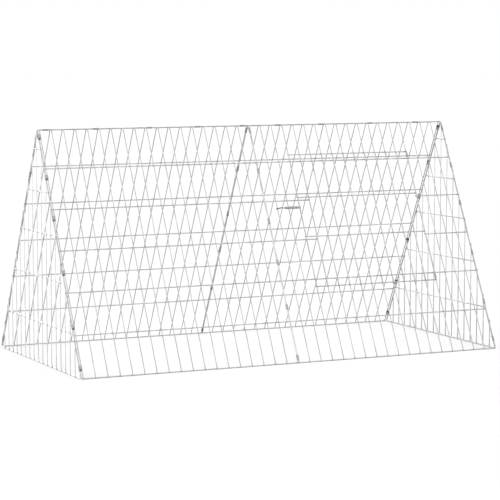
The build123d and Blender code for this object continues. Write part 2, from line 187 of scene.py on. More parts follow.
class Signal:
    """A socket in a node tree; sums of signals and numbers add the Math nodes that they need."""

    def __init__(self, tree, socket=None):
        self.tree = tree
        self.socket = socket

    def node(self, kind, inputs=(), output=0, **settings):
        """A new node of the same tree: its settings first, then the values or links of its sockets."""
        made = self.tree.nodes.new(kind)
        for name, value in settings.items():
            setattr(made, name, value)
        for name, value in dict(inputs).items():
            self.feed(made.inputs[name], value)
        return Signal(self.tree, made.outputs[output])

    def feed(self, socket, value):
        """Links a signal to a socket, or sets the socket's own value."""
        if isinstance(value, Signal):
            self.tree.links.new(value.socket, socket)
        else:
            socket.default_value = value

    def _math(self, operation, first, second):
        return self.node("ShaderNodeMath", {0: first, 1: second}, operation=operation)

    def __add__(self, other):
        return self._math("ADD", self, other)

    __radd__ = __add__

    def __sub__(self, other):
        return self._math("SUBTRACT", self, other)

    def __rsub__(self, other):
        return self._math("SUBTRACT", other, self)

    def __mul__(self, other):
        return self._math("MULTIPLY", self, other)

    __rmul__ = __mul__

    def between(self, low, high):
        """0 up to low, 1 from high on, and smooth between them."""
        sockets = {"Value": self, "From Min": low, "From Max": high}
        return self.node("ShaderNodeMapRange", sockets, interpolation_type="SMOOTHSTEP")

    def blend(self, first, second):
        """A colour that goes from the first to the second as this signal goes from 0 to 1."""
        return self.node("ShaderNodeMix", {0: self, 6: first, 7: second}, output=2, data_type="RGBA")

    def cloud(self, scale, detail=2.0, rough=0.5):
        """Noise on this signal's coordinates, with this many lumps to the metre."""
        return self.node(
            "ShaderNodeTexNoise", {"Vector": self, "Scale": scale, "Detail": detail, "Roughness": rough}
        )

    def crystals(self, scale):
        """Cells on this signal's coordinates, each with a tone of its own."""
        cells = self.node("ShaderNodeTexVoronoi", {"Vector": self, "Scale": scale}, output="Color")
        return self.node("ShaderNodeSeparateColor", {0: cells})

    def stretched(self, along, times):
        """These coordinates turned so that a pattern on them is drawn out along a direction."""
        sockets = {"Vector": self, "Rotation": along.to_track_quat("Z", "Y").to_euler()}
        sockets["Scale"] = (1, 1, times)
        return self.node("ShaderNodeMapping", sockets, vector_type="TEXTURE")

    def relief(self, strength, depth):
        """A normal that follows this signal as a height."""
        return self.node("ShaderNodeBump", {"Height": self, "Strength": strength, "Distance": depth})


def new_finish(name):
    """A new material with a signal of its Object coordinates and its shader."""
    material = bpy.data.materials.new(name)
    material.use_nodes = True
    place = Signal(material.node_tree).node("ShaderNodeTexCoord", output="Object")
    return material, place, material.node_tree.nodes["Principled BSDF"]


# Finishes. A pattern is given by how many of its lumps go to the metre, its edges by the two values between
# which it goes from none to all, and a relief by its strength and its depth.

CLOUD_EDGES = (0.3, 0.7)

# Painted light and shade: some wires and clips get a lighter or darker copy of their finish, for light that
# falls more or less on them; each factor is times the usual tone
RIDGE_PAINTED_SHADE = 0.79
RIGHT_EDGE_PAINTED_SHADE = 0.82
FRONT_SEAM_PAINTED_LIGHT = 1.28
BACK_SEAM_PAINTED_LIGHT = 1.12
BASE_PAINTED_LIGHT = 1.25
LEFT_END_PAINTED_LIGHT = 1.5
LEFT_BASE_PAINTED_LIGHT = 1.8
PAINTED_LIGHT_HEIGHTS = (0.18, 0.36)  # where the right end's uprights turn to a lighter tone, painted light higher up
PAINTED_LIGHT_ABOVE = {"up_right_end": 1.26}  # painted light higher up, times their tone lower down
CLIP_PAINTED_SHADE = 0.8
CRIMP_PAINTED_LIGHT = 2.2


def with_painted_light(colour, painted_light):
    """A colour times a factor of painted light: lighter above 1, darker below it."""
    red, green, blue, alpha = colour
    return red * painted_light, green * painted_light, blue * painted_light, alpha


ZINC_BRIGHT = (0.53, 0.535, 0.545, 1)
ZINC_DULL = (0.32, 0.324, 0.33, 1)
ZINC_PATCHES = 14
ZINC_CRYSTALS = 240
ZINC_LINES = 1500
LINE_STRETCH = 24  # times longer along the wire than across it
PATCH_TONE, CRYSTAL_TONE, LINE_TONE = 0.5, 0.3, 0.2  # shares of the zinc's tone
LINE_HEIGHT, CRYSTAL_HEIGHT = 0.6, 0.4  # shares of its relief
ZINC_RELIEF = (0.25, 0.0001)
ZINC_ROUGHNESS = 0.52
ZINC_POLISH = 0.2  # less rough where it is bright
SOIL = (0.13, 0.10, 0.07, 1)
SOIL_HEIGHT = 0.035  # above the ground
SOIL_EDGES = (0.4, 0.7)
SOIL_COVER = 0.12
SOIL_ROUGHNESS = 0.3  # more than that of the zinc


def zinc_wire(name, along, painted_light, top_painted_light):
    """Galvanised wire: drawn lines along it, crystals of zinc, dull patches, and soil near the ground.

    Its tone is made lighter or darker by a factor of painted light and shade, and by a second such factor
    above the given heights.
    """
    material, place, shader = new_finish(name)
    patches = place.cloud(ZINC_PATCHES, detail=4, rough=0.6)
    crystals = place.crystals(ZINC_CRYSTALS)
    drawn = (place.stretched(along, LINE_STRETCH) if along else place).cloud(ZINC_LINES)
    height = place.node("ShaderNodeSeparateXYZ", {0: place}, output="Z")
    soiled = (1 - height.between(0.0, SOIL_HEIGHT)) * patches.between(*SOIL_EDGES) * SOIL_COVER
    tone = patches.between(*CLOUD_EDGES) * PATCH_TONE + crystals * CRYSTAL_TONE + drawn * LINE_TONE
    clean = tone.blend(with_painted_light(ZINC_DULL, painted_light), with_painted_light(ZINC_BRIGHT, painted_light))
    # Painted light: a lighter tone above the given heights
    if top_painted_light != painted_light:
        above = tone.blend(with_painted_light(ZINC_DULL, top_painted_light), with_painted_light(ZINC_BRIGHT, top_painted_light))
        clean = height.between(*PAINTED_LIGHT_HEIGHTS).blend(clean, above)
    roughness = ZINC_ROUGHNESS - tone * ZINC_POLISH + soiled * SOIL_ROUGHNESS
    relief = (drawn * LINE_HEIGHT + crystals * CRYSTAL_HEIGHT).relief(*ZINC_RELIEF)
    place.feed(shader.inputs["Base Color"], soiled.blend(clean, SOIL))
    place.feed(shader.inputs["Roughness"], roughness)
    place.feed(shader.inputs["Metallic"], 1 - soiled)
    place.feed(shader.inputs["Normal"], relief)
    return material


WELD_GREY = (0.34, 0.338, 0.335, 1)
WELD_BURNT = (0.16, 0.14, 0.12, 1)
WELD_BURNS = 160
WELD_PITS = 2600
BURN_EDGES = (0.4, 0.65)
SCALE_EDGES = (0.45, 0.7)  # of the scale where it is burnt most
SCALE_COVER = 0.35
WELD_ROUGHNESS = 0.5
PIT_ROUGHNESS = 0.25
WELD_RELIEF = (0.5, 0.0002)


def weld_metal(name):
    """Rough dull metal with a burnt tinge here and there."""
    material, place, shader = new_finish(name)
    burnt = place.cloud(WELD_BURNS, detail=3)
    pitted = place.cloud(WELD_PITS, detail=3)
    place.feed(shader.inputs["Base Color"], burnt.between(*BURN_EDGES).blend(WELD_GREY, WELD_BURNT))
    place.feed(shader.inputs["Roughness"], WELD_ROUGHNESS + pitted * PIT_ROUGHNESS)
    place.feed(shader.inputs["Metallic"], 1 - burnt.between(*SCALE_EDGES) * SCALE_COVER)
    place.feed(shader.inputs["Normal"], pitted.relief(*WELD_RELIEF))
    return material


SHEET_BRIGHT = (0.47, 0.473, 0.48, 1)
SHEET_DULL = (0.26, 0.263, 0.27, 1)
SHEET_CLOUDS = 110
SHEET_SCUFFS = 900
SCUFF_EDGES = (0.52, 0.68)
SCUFF_WEAR = 0.6
CLOUD_TONE = 0.6
SCUFF_HEIGHT, CLOUD_HEIGHT = 0.7, 0.3  # shares of the sheet's relief
SHEET_RELIEF = (0.3, 0.00015)
SHEET_ROUGHNESS = 0.55
SCUFF_POLISH = 0.3
CLOUD_ROUGHNESS = 0.1
SHEET_METAL, CLOUD_METAL = 0.75, 0.25  # how metallic the sheet is, and how much more where it is clouded


def clip_sheet(name, painted_light=1.0):
    """Dull zinc plated sheet, worn brighter in spots by the pliers, its tone times a factor of painted
    light and shade.
    """
    material, place, shader = new_finish(name)
    clouded = place.cloud(SHEET_CLOUDS, detail=4, rough=0.65)
    scuffs = place.cloud(SHEET_SCUFFS, detail=3, rough=0.7)
    worn = scuffs.between(*SCUFF_EDGES) * SCUFF_WEAR
    tone = clouded.between(*CLOUD_EDGES) * CLOUD_TONE + worn
    zinc_tone = tone.blend(with_painted_light(SHEET_DULL, painted_light), with_painted_light(SHEET_BRIGHT, painted_light))
    roughness = SHEET_ROUGHNESS - worn * SCUFF_POLISH + clouded * CLOUD_ROUGHNESS
    relief = (scuffs * SCUFF_HEIGHT + clouded * CLOUD_HEIGHT).relief(*SHEET_RELIEF)
    place.feed(shader.inputs["Base Color"], zinc_tone)
    place.feed(shader.inputs["Roughness"], roughness)
    place.feed(shader.inputs["Metallic"], SHEET_METAL + clouded * CLOUD_METAL)
    place.feed(shader.inputs["Normal"], relief)
    return material


# Painted shade for the pinched ends of clips: near black, mottled
CRIMP_SHADE_LIGHT = (0.13, 0.128, 0.125, 1)
CRIMP_SHADE_DARK = (0.035, 0.033, 0.03, 1)
CRIMP_MOTTLES = 700
CRIMP_DENTS = 2400
MOTTLE_EDGES = (0.45, 0.75)
MOTTLE_METAL_EDGES = (0.5, 0.7)
MOTTLE_HEIGHT, DENT_HEIGHT = 0.6, 0.4  # shares of the relief
CRIMP_RELIEF = (0.5, 0.0002)
CRIMP_ROUGHNESS = 0.6
DENT_ROUGHNESS = 0.2
CRIMP_METAL, MOTTLE_METAL = 0.3, 0.6  # how metallic it is, and how much more where the mottling is light


def crimp_painted_shade(name, painted_light=1.0):
    """Painted shade on the end of a clip that the pliers pinched tight: dark mottled metal, its tone times
    a factor of painted light.
    """
    material, place, shader = new_finish(name)
    mottled = place.cloud(CRIMP_MOTTLES, detail=4, rough=0.7)
    dented = place.cloud(CRIMP_DENTS, detail=2)
    shade_tone = mottled.between(*MOTTLE_EDGES).blend(with_painted_light(CRIMP_SHADE_DARK, painted_light), with_painted_light(CRIMP_SHADE_LIGHT, painted_light))
    relief = (mottled * MOTTLE_HEIGHT + dented * DENT_HEIGHT).relief(*CRIMP_RELIEF)
    place.feed(shader.inputs["Base Color"], shade_tone)
    place.feed(shader.inputs["Roughness"], CRIMP_ROUGHNESS + dented * DENT_ROUGHNESS)
    place.feed(shader.inputs["Metallic"], CRIMP_METAL + mottled.between(*MOTTLE_METAL_EDGES) * MOTTLE_METAL)
    place.feed(shader.inputs["Normal"], relief)
    return material


CUT_STEEL = (0.42, 0.415, 0.41, 1)
CUT_GREY = (0.22, 0.215, 0.21, 1)
CUT_TEARS = 2200
TEAR_EDGES = (0.35, 0.65)
CUT_RELIEF = (0.4, 0.0001)
CUT_ROUGHNESS = 0.38
TEAR_ROUGHNESS = 0.3


def sheared_edge(name):
    """The bare grey edge where the sheet was sheared, with fine lines."""
    material, place, shader = new_finish(name)
    torn = place.cloud(CUT_TEARS, detail=3, rough=0.7)
    place.feed(shader.inputs["Base Color"], torn.between(*TEAR_EDGES).blend(CUT_GREY, CUT_STEEL))
    place.feed(shader.inputs["Roughness"], CUT_ROUGHNESS + torn * TEAR_ROUGHNESS)
    shader.inputs["Metallic"].default_value = 1.0
    place.feed(shader.inputs["Normal"], torn.relief(*CUT_RELIEF))
    return material


SPRING_BRIGHT = (0.60, 0.60, 0.61, 1)
SPRING_DARK = (0.30, 0.30, 0.305, 1)
# The hook end of the spring's wire has a darker tone than its coil
HOOK_BRIGHT = (0.22, 0.215, 0.21, 1)
HOOK_DARK = (0.07, 0.066, 0.062, 1)
SPRING_RUBS = 420
SPRING_GRAIN = 4200
RUB_EDGES = (0.42, 0.72)
RUB_TONE, GRAIN_TONE = 0.75, 0.25  # shares of the spring's tone
SPRING_RELIEF = (0.2, 0.00006)
SPRING_ROUGHNESS = 0.30
GRAIN_ROUGHNESS = 0.2
RUB_ROUGHNESS = 0.1


def spring_steel(name, dark, bright):
    """Oiled spring wire, rubbed brighter in places."""
    material, place, shader = new_finish(name)
    rubbed = place.cloud(SPRING_RUBS, detail=3, rough=0.6)
    grain = place.cloud(SPRING_GRAIN, detail=2)
    tone = rubbed.between(*RUB_EDGES) * RUB_TONE + grain * GRAIN_TONE
    roughness = SPRING_ROUGHNESS + grain * GRAIN_ROUGHNESS + rubbed * RUB_ROUGHNESS
    place.feed(shader.inputs["Base Color"], tone.blend(dark, bright))
    place.feed(shader.inputs["Roughness"], roughness)
    shader.inputs["Metallic"].default_value = 1.0
    place.feed(shader.inputs["Normal"], grain.relief(*SPRING_RELIEF))
    return material


WIRE_WAYS = {
    "along_ridge": ALONG_RIDGE, "up_front": UP_FRONT, "up_back": UP_BACK,
    "across_end": ACROSS_END, "up_left_end": UPWARD, "up_right_end": UPWARD, "bent": None,
}
zincs = {}


def zinc(way, painted_light):
    """The finish of wires that run one way; each is made once."""
    if (way, painted_light) not in zincs:
        top_painted_light = painted_light * PAINTED_LIGHT_ABOVE.get(way, 1.0)
        zincs[way, painted_light] = zinc_wire(f"zinc_{way}_{painted_light}", WIRE_WAYS[way], painted_light, top_painted_light)
    return zincs[way, painted_light]


WELD = weld_metal("weld_metal")
SHEET = clip_sheet("clip_sheet")
# A darker copy of the clip sheet, as painted shade
SHADED_SHEET = clip_sheet("shaded_clip_sheet", CLIP_PAINTED_SHADE)
SHEARED = sheared_edge("sheared_edge")
CRIMP_SHADE = crimp_painted_shade("crimp_painted_shade")
# A lighter copy of the pinched ends' painted shade, as painted light for the left clips
LIT_CRIMP_SHADE = crimp_painted_shade("lit_crimp_shade", CRIMP_PAINTED_LIGHT)
SPRING = spring_steel("spring_steel", SPRING_DARK, SPRING_BRIGHT)
HOOK = spring_steel("darker_hook", HOOK_DARK, HOOK_BRIGHT)


# Working on a piece


def deselect():
    """Leaves nothing selected, so that an operator acts on its own piece alone."""
    bpy.ops.object.select_all(action="DESELECT")


def hold(*pieces):
    """Selects only these pieces, the first one active."""
    deselect()
    for piece in pieces:
        piece.select_set(True)
    bpy.context.view_layer.objects.active = pieces[0]
    return pieces[0]


def edit(piece, kind, wanted):
    """Enters edit mode with only those faces, edges or vertices selected for which wanted is true."""
    hold(piece)
    bpy.ops.object.mode_set(mode="EDIT")
    bpy.ops.mesh.select_mode(type=kind)
    bpy.ops.mesh.select_all(action="DESELECT")
    bpy.ops.object.mode_set(mode="OBJECT")
    mesh = piece.data
    for item in {"FACE": mesh.polygons, "EDGE": mesh.edges, "VERT": mesh.vertices}[kind]:
        item.select = wanted(item)
    bpy.ops.object.mode_set(mode="EDIT")


def leave_edit():
    """Goes back from edit mode to object mode."""
    bpy.ops.object.mode_set(mode="OBJECT")


def finish_with(piece, kind, **settings):
    """Adds a modifier to a piece and applies it."""
    hold(piece)
    modifier = piece.modifiers.new(kind.lower(), kind)
    for name, value in settings.items():
        setattr(modifier, name, value)
    bpy.ops.object.modifier_apply(modifier=modifier.name)


def settle(piece):
    """Puts a piece's place into its mesh."""
    hold(piece)
    bpy.ops.object.transform_apply(location=True, rotation=True, scale=True)


def smooth(piece, crease):
    """Smooth shading, apart from edges sharper than this angle in degrees."""
    hold(piece)
    bpy.ops.object.shade_smooth_by_angle(angle=radians(crease))


def dress(piece, *finishes):
    """Gives a piece these finishes, in place of those that it has."""
    piece.data.materials.clear()
    for finish in finishes:
        piece.data.materials.append(finish)


def copy_of(pattern, place):
    """A copy of a piece, with a mesh of its own, moved by a matrix."""
    twin = pattern.copy()
    twin.data = pattern.data.copy()
    twin.data.transform(place)
    bpy.context.collection.objects.link(twin)
    return twin


def joined(name, pieces):
    """One piece of this name, made of these."""
    whole = hold(*pieces)
    bpy.ops.object.join()
    whole.name = name
    whole.data.name = name
    return whole


def put(name, pieces, place, body, slot, *nodes):
    """Joins the parts of a piece, sets it in its place and lets it stand for its solids."""
    whole = joined(name, pieces)
    whole.data.transform(place)
    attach(whole, body)
    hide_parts(*nodes)
    return whole


# Wire, welds and welded panels


def cut_wire(length, diameter):
    """A straight wire along z with its cut ends rounded over."""
    deselect()
    bpy.ops.mesh.primitive_cylinder_add(vertices=WIRE_SIDES, radius=diameter / 2, depth=length)
    wire = bpy.context.object
    edit(wire, "FACE", lambda face: abs(face.normal.z) > SQUARE_ON)
    bpy.ops.mesh.bevel(offset=CUT_ROUNDING * diameter, segments=ROUNDING_STEPS)
    leave_edit()
    smooth(wire, WIRE_CREASE)
    return wire


def weld_bead():
    """The lump of metal squeezed out where two wires are welded together."""
    deselect()
    bpy.ops.mesh.primitive_uv_sphere_add(
        segments=BEAD_SEGMENTS, ring_count=BEAD_RINGS, radius=BEAD_RADIUS
    )
    bead = bpy.context.object
    edit(bead, "VERT", lambda vertex: True)
    bpy.ops.transform.resize(value=(1, 1, BEAD_FLATNESS))
    bpy.ops.transform.vertex_random(offset=BEAD_LUMPS * BEAD_RADIUS, seed=BEAD_SEED)
    leave_edit()
    smooth(bead, BEAD_CREASE)
    dress(bead, WELD)
    return bead


patterns = {}  # what is copied, and taken away at the end


def wire(start, end, diameter, finish):
    """A wire between two points; each length is modelled once, and the others are copies of it."""
    way = Vector(end) - Vector(start)
    size = (round(way.length, 6), diameter)
    if size not in patterns:
        patterns[size] = cut_wire(way.length, diameter)
    middle = Matrix.Translation((Vector(start) + Vector(end)) / 2)
    laid = copy_of(patterns[size], middle @ way.to_track_quat("Z", "Y").to_matrix().to_4x4())
    dress(laid, finish)
    return laid


def weld(x, up, out, number, size):
    """A weld at a point of a panel; no two neighbours are quite alike."""
    if "bead" not in patterns:
        patterns["bead"] = weld_bead()
    size *= 1 + BEAD_SPREAD * sin(BEAD_SIZE_STEP * number)
    turn = Matrix.Rotation(BEAD_TURN_STEP * number, 4, "Z")
    return copy_of(patterns["bead"], Matrix.Translation((x, up, out)) @ turn @ Matrix.Scale(size, 4))


# Factors of painted shade on the ridge rows and of painted light on the base rows
ROW_PAINTED_LIGHT = {0.0: RIDGE_PAINTED_SHADE, SLOPE: BASE_PAINTED_LIGHT}


def welded_mesh(uprights, rows, up, along, rows_out=0.0):
    """Uprights on rows, welded where they cross.

    An upright is (x, top, bottom, diameter, factor of painted light), and a row is (down, first x, last x,
    factor of painted light).
    """
    pieces = []
    contact = rows_out + (FRAME_WIRE - WELD_SINK) / 2
    for down, first_x, last_x, painted_light in rows:
        ends = (first_x, -down, rows_out), (last_x, -down, rows_out)
        pieces.append(wire(*ends, FRAME_WIRE, zinc(along, painted_light)))
    for x, top, bottom, diameter, painted_light in uprights:
        out = rows_out + (FRAME_WIRE + diameter) / 2 - WELD_SINK
        pieces.append(wire((x, -bottom, out), (x, -top, out), diameter, zinc(up, painted_light)))
        for down, first_x, last_x, _ in rows:
            if first_x <= x <= last_x and top <= down <= bottom:
                size = EDGE_BEADS.get(down, (diameter / UPRIGHT_WIRE) ** 0.5)
                pieces.append(weld(x, -down, contact, len(pieces), size))
    return pieces


PAST_ROW = FRAME_WIRE / 2  # an upright's end past the middle of the row that it ends on
PAST_RIDGE = 0.0  # the same at the ridge
PANEL_START = HALF_SEAM - UPRIGHT_WIRE / 2  # where the rows of a right-hand panel start
PANEL_STOP = EDGE_X + UPRIGHT_WIRE / 2
LAST_ROW = len(ROW_AT) - 1


def panel_upright(number, painted_lights, first_row=0, last_row=LAST_ROW):
    """An upright of a right-hand panel, counted from the middle seam to the edge at the end."""
    x = max(HALF_SEAM, number * UPRIGHT_PITCH)
    past_top = PAST_ROW if first_row else PAST_RIDGE
    top, bottom = ROW_AT[first_row] - past_top, ROW_AT[last_row] + PAST_ROW
    return x, top, bottom, UPRIGHT_WIRE, painted_lights.get(number, 1.0)


def plain_panel(up, side, painted_lights):
    """A side panel without a doorway: right of the middle seam for side 1, left of it for side -1."""
    uprights = []
    for number in range(UPRIGHT_SPACES + 1):
        x, *rest = panel_upright(number, painted_lights)
        uprights.append((side * x, *rest))
    ends = sorted((side * PANEL_START, side * PANEL_STOP))
    rows = [(down, *ends, ROW_PAINTED_LIGHT.get(down, 1.0)) for down in ROW_AT]
    return welded_mesh(uprights, rows, up, "along_ridge")


def doorway_panel(painted_lights):
    """The side panel with the doorway, whose rows and uprights stop at the wires round it."""
    uprights = []
    for number in range(UPRIGHT_SPACES + 1):
        if WAY_FIRST < number < WAY_LAST:
            uprights.append(panel_upright(number, painted_lights, 0, WAY_TOP))
            uprights.append(panel_upright(number, painted_lights, WAY_BOTTOM, LAST_ROW))
        else:
            uprights.append(panel_upright(number, painted_lights))
    rows = []
    way_left = WAY_FIRST * UPRIGHT_PITCH + UPRIGHT_WIRE / 2
    way_right = WAY_LAST * UPRIGHT_PITCH - UPRIGHT_WIRE / 2
    for number, down in enumerate(ROW_AT):
        painted_light = ROW_PAINTED_LIGHT.get(down, 1.0)
        if WAY_TOP < number < WAY_BOTTOM:
            rows.append((down, PANEL_START, way_left, painted_light))
            rows.append((down, way_right, PANEL_STOP, painted_light))
        else:
            rows.append((down, PANEL_START, PANEL_STOP, painted_light))
    return welded_mesh(uprights, rows, "up_front", "along_ridge")


def door_mesh():
    """The door, in the frame of the front slope."""
    door_downs = [DOOR_TOP]
    door_downs += [down - DOOR_ROW_LIFT for down in ROW_AT[WAY_TOP + 1 : WAY_BOTTOM]]
    door_downs.append(DOOR_BOTTOM)
    rows = [(down, DOOR_LEFT - PAST_ROW, DOOR_RIGHT + PAST_ROW, 1.0) for down in door_downs]
    uprights = []
    for number in range(DOOR_LAST - DOOR_FIRST + 1):
        x = DOOR_LEFT + number * UPRIGHT_PITCH
        uprights.append((x, DOOR_TOP - PAST_ROW, DOOR_BOTTOM + PAST_ROW, FRAME_WIRE, 1.0))
    return welded_mesh(uprights, rows, "up_front", "along_ridge", DOOR_OUT)


def bent_frame(edge_painted_light, base_painted_light):
    """The frame wire of an end panel, bent round at its three corners."""
    deselect()
    bpy.ops.mesh.primitive_circle_add(vertices=3, radius=1)
    bent = bpy.context.object
    corners = [Vector((CORNER_Y, BASE_Z, 0)), Vector((-CORNER_Y, BASE_Z, 0)), Vector((0, APEX_Z, 0))]
    for vertex, corner in zip(bent.data.vertices, corners):
        vertex.co = corner
    foot = atan2(RISE, RUN)
    for corner, angle in zip(corners, (foot, foot, pi - 2 * foot)):
        edit(bent, "VERT", lambda vertex: (vertex.co - corner).length < TOUCHING)
        bpy.ops.mesh.bevel(offset=END_BEND / tan(angle / 2), segments=BEND_STEPS, affect="VERTICES")
        leave_edit()
    bpy.ops.object.convert(target="CURVE")
    bent.data.bevel_depth = FRAME_WIRE / 2
    bent.data.bevel_resolution = WIRE_SIDES // 2 - 2
    bpy.ops.object.convert(target="MESH")
    smooth(bent, WIRE_CREASE)
    dress(bent, zinc("bent", edge_painted_light), zinc("across_end", base_painted_light))
    for face in bent.data.polygons:
        face.material_index = int(face.center.y < FRAME_WIRE)
    return bent


def end_panel(up, painted_light=1.0, edge_painted_light=1.0, base_painted_light=1.0):
    """An end panel in its own frame: a bent frame wire, rows inside it and uprights outside them."""
    rows = []
    for height in END_ROW_HEIGHTS:
        half = (APEX_Z - height) * RUN / RISE
        rows.append((-height, -half, half, painted_light))
    uprights = []
    welds = []
    contact = (FRAME_WIRE - WELD_SINK) / 2
    for number in range(-END_COUNT, END_COUNT + 1):
        x = number * END_PITCH
        meets = APEX_Z - max(abs(x) * RISE / RUN, APEX_CUT)
        uprights.append((x, -meets - PAST_ROW, END_FOOT_PAST - BASE_Z, UPRIGHT_WIRE, painted_light))
        welds += [(x, meets, contact, 1.0), (x, BASE_Z + FRAME_WIRE / 2, contact, END_FOOT_BEAD)]
    for down, first_x, last_x, _ in rows:
        welds += [(first_x, -down, 0.0, ROW_END_BEAD), (last_x, -down, 0.0, ROW_END_BEAD)]
    pieces = welded_mesh(uprights, rows, up, "across_end")
    for number, (x, height, out, size) in enumerate(welds):
        pieces.append(weld(x, height, out, number, size))
    return [bent_frame(edge_painted_light, base_painted_light), *pieces]


# Uprights by number: painted light on the seam uprights, painted shade on those at the right edge
front_seam = {0: FRONT_SEAM_PAINTED_LIGHT}
back_seam = {0: BACK_SEAM_PAINTED_LIGHT}
right_edge = {UPRIGHT_SPACES: RIGHT_EDGE_PAINTED_SHADE}
front_left = plain_panel("up_front", -1, front_seam)
put("front_left_mesh", front_left, FRONT, "frame", "mesh_wire", "front_left_panel")
back_left = plain_panel("up_back", 1, back_seam)
put("back_left_mesh", back_left, BACK, "frame", "mesh_wire", "back_left_panel")
back_right = plain_panel("up_back", -1, back_seam | right_edge)
put("back_right_mesh", back_right, BACK, "frame", "mesh_wire", "back_right_panel")
put(
    "front_right_mesh", doorway_panel(front_seam | right_edge), FRONT, "frame", "mesh_wire",
    "front_right_panel_left", "front_right_panel_right",
    "front_right_panel_over_door", "front_right_panel_under_door",
)
# Painted shade on the right end's frame wire; painted light on all the left end's wires, most of all on its
# base
right_end = end_panel("up_right_end", edge_painted_light=RIGHT_EDGE_PAINTED_SHADE)
put("right_end_mesh", right_end, RIGHT_END, "frame", "mesh_wire", "right_end_panel")
left_end = end_panel("up_left_end", LEFT_END_PAINTED_LIGHT, base_painted_light=LEFT_BASE_PAINTED_LIGHT)
put("left_end_mesh", left_end, LEFT_END, "frame", "mesh_wire", "left_end_panel")
put("door_mesh", door_mesh(), FRONT, "door", "mesh_wire", "door")


# Clips

SHEET_SLOT, EDGE_SLOT, SHADE_SLOT = range(3)  # the finishes of a clip; the third is the painted shade of a pinched end


def bent_clip(reach, inside_a, inside_b, length, sheet=SHEET, crimped=0, shade_span=0.5, pinch_shade=CRIMP_SHADE):
    """A strip bent round wires at x = -reach / 2 and reach / 2 that run along z; its slit faces +y.

    Crimped is 1 or -1 for a strip that is pinched tight at its upper or lower end, and carries the painted
    shade of the pinch there for this share of the reach, to each side of its middle.
    """
    radius_a = inside_a + CLIP_SHEET / 2
    radius_b = inside_b + CLIP_SHEET / 2
    lean = acos((radius_a - radius_b) / reach)
    outline = [(CLIP_SLIT / 2, (radius_a + radius_b) / 2 * sin(lean) - CLIP_DIP)]
    for step in range(BEND_STEPS + 1):
        angle = lean - 2 * lean * step / BEND_STEPS
        outline.append((reach / 2 + radius_b * cos(angle), radius_b * sin(angle)))
    outline.append((0, -outline[0][1]))
    for step in range(BEND_STEPS + 1):
        angle = -lean - 2 * (pi - lean) * step / BEND_STEPS
        outline.append((-reach / 2 + radius_a * cos(angle), radius_a * sin(angle)))
    outline.append((-CLIP_SLIT / 2, outline[0][1]))
    points = [Vector((x, y, 0)) for x, y in outline]
    deselect()
    bpy.ops.mesh.primitive_plane_add(size=1)
    clip = bpy.context.object
    first = points[1] - points[0]
    lip = standing((points[0] + points[1]) / 2, first.normalized(), UPWARD)
    clip.matrix_world = lip @ Matrix.Diagonal((first.length, length, 1, 1))
    settle(clip)
    corners = clip.data.vertices

    def at_second_point(edge):
        return all((corners[number].co.xy - points[1].xy).length < TOUCHING for number in edge.vertices)

    edit(clip, "EDGE", at_second_point)
    for here, there in zip(points[1:], points[2:]):
        bpy.ops.mesh.extrude_edges_move(TRANSFORM_OT_translate={"value": there - here})
    leave_edit()
    dress(clip, sheet, SHEARED, pinch_shade)
    if crimped:
        crimp(clip, length, shade_span * reach, crimped)
    finish_with(clip, "SOLIDIFY", thickness=CLIP_SHEET, offset=0, material_offset_rim=EDGE_SLOT)
    finish_with(
        clip, "BEVEL", width=CLIP_EDGE, segments=ROUNDING_STEPS,
        limit_method="ANGLE", angle_limit=radians(SHEARED_CORNER),
    )
    smooth(clip, CLIP_CREASE)
    return clip


def crimp(clip, length, shade_span, end):
    """Pinches one end of a bent strip between its wires, and gives the faces there the painted shade of the
    pinch.
    """
    start = length / 2 - CRIMP_LENGTH
    edit(clip, "FACE", lambda face: True)
    for cut in (start, start + CRIMP_SLOPE):
        bpy.ops.mesh.select_all(action="SELECT")
        bpy.ops.mesh.bisect(plane_co=(0, 0, end * cut), plane_no=(0, 0, 1))
    leave_edit()
    pinched_from = start + CRIMP_SLOPE / 2
    edit(clip, "VERT", lambda vertex: end * vertex.co.z > pinched_from and abs(vertex.co.x) < CLIP_SLIT)
    bpy.ops.transform.resize(value=(1, CRIMP_DIP, 1), center_override=(0, 0, 0))
    leave_edit()
    # Faces at the pinch, out to the given span from the middle, get the painted shade
    for face in clip.data.polygons:
        bare = abs(face.center.x) < shade_span and end * face.center.z > start
        face.material_index = SHADE_SLOT if bare else SHEET_SLOT


def clip_middles(node, across, slit, lean=0.0):
    """Halfway between the wires in each clip of a node, from the runs of its points along the seam.

    Lean is how far the middle of the clip itself lies from there, towards the thicker wire.
    """
    along = across.cross(slit)
    points = sorted((vertex.co.copy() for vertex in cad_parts[node].data.vertices), key=along.dot)
    runs = [[points[0]]]
    for point in points[1:]:
        if along.dot(point - runs[-1][-1]) > CLIP_APART:
            runs.append([])
        runs[-1].append(point)
    middles = []
    for run in runs:
        middle = Vector()
        for way in (across, slit, along):
            reaches = [way.dot(point) for point in run]
            middle += way * (min(reaches) + max(reaches)) / 2
        middles.append(middle - across * lean)
    return middles


THIN_INSIDE = UPRIGHT_WIRE / 2 + CLIP_PLAY
THICK_INSIDE = FRAME_WIRE / 2 + CLIP_PLAY
EDGE_REACH = Vector((END_X - EDGE_X, 0, END_OUT - UPRIGHT_OUT))
HINGE_REACH = Vector((-DOOR_SET_LEFT, 0, PIVOT_OUT - UPRIGHT_OUT))
